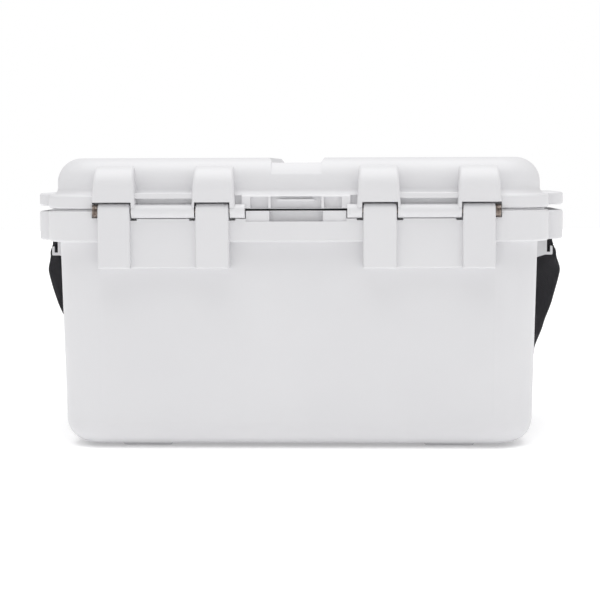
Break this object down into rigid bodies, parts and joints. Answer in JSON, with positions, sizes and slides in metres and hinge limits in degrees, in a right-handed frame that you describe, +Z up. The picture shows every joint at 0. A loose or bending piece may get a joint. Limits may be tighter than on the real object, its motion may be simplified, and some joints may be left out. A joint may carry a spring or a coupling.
{
  "type": "hard cooler",
  "caption": "Insulated hard cooler with a domed lid on two pin hinges, snap latches, side grips and a padded shoulder strap.",
  "frame": {"origin": "on the ground, under the middle of the cooler's box", "axes": "+Z up, X along the length, -Y towards the hinges, +Y towards the latches"},
  "size_m": [0.561, 0.3916, 0.2976],
  "materials": {
    "white_shell": "satin",
    "white_liner": "satin",
    "white_trim": "satin",
    "white_latch": "satin",
    "white_feet": "matte",
    "foam": "matte",
    "gasket": "matte",
    "steel": "satin",
    "bush_plastic": "satin",
    "webbing": "matte",
    "pad_cover": "matte",
    "black_plastic": "satin"
  },
  "bodies": {
    "tub": {"tub_shell": "white_shell", "tub_liner": "white_liner", "tub_foam": "foam", "shoulder_strap": "webbing", "shoulder_pad": "pad_cover", "strap_slider": "black_plastic", "foot_rear_right": "white_feet", "foot_rear_left": "white_feet", "foot_front_right": "white_feet", "foot_front_left": "white_feet", "hinge_pin_right": "steel", "strap_pin_right": "steel", "strap_bracket_right": "white_trim", "bracket_screws_right": "steel", "hinge_pin_left": "steel", "strap_pin_left": "steel", "strap_bracket_left": "white_trim", "bracket_screws_left": "steel"},
    "lid": {"lid_shell": "white_shell", "lid_liner": "white_liner", "lid_foam": "foam", "lid_gasket": "gasket", "hinge_bushes_right": "bush_plastic", "hinge_bushes_left": "bush_plastic", "latch_pin_right": "steel", "latch_pin_left": "steel"},
    "latch_right": {"latch_right": "white_latch"},
    "latch_left": {"latch_left": "white_latch"}
  },
  "joints": [
    {"name": "lid_hinge", "type": "hinge", "parent": "tub", "child": "lid", "pos_m": [0, -0.1675, 0.244], "axis": [1, 0, 0], "range_deg": [0, 98]},
    {"name": "latch_right_turn", "type": "hinge", "parent": "lid", "child": "latch_right", "pos_m": [0.15, 0.17, 0.256], "axis": [1, 0, 0], "range_deg": [0, 120]},
    {"name": "latch_left_turn", "type": "hinge", "parent": "lid", "child": "latch_left", "pos_m": [-0.15, 0.17, 0.256], "axis": [1, 0, 0], "range_deg": [0, 120]}
  ]
}
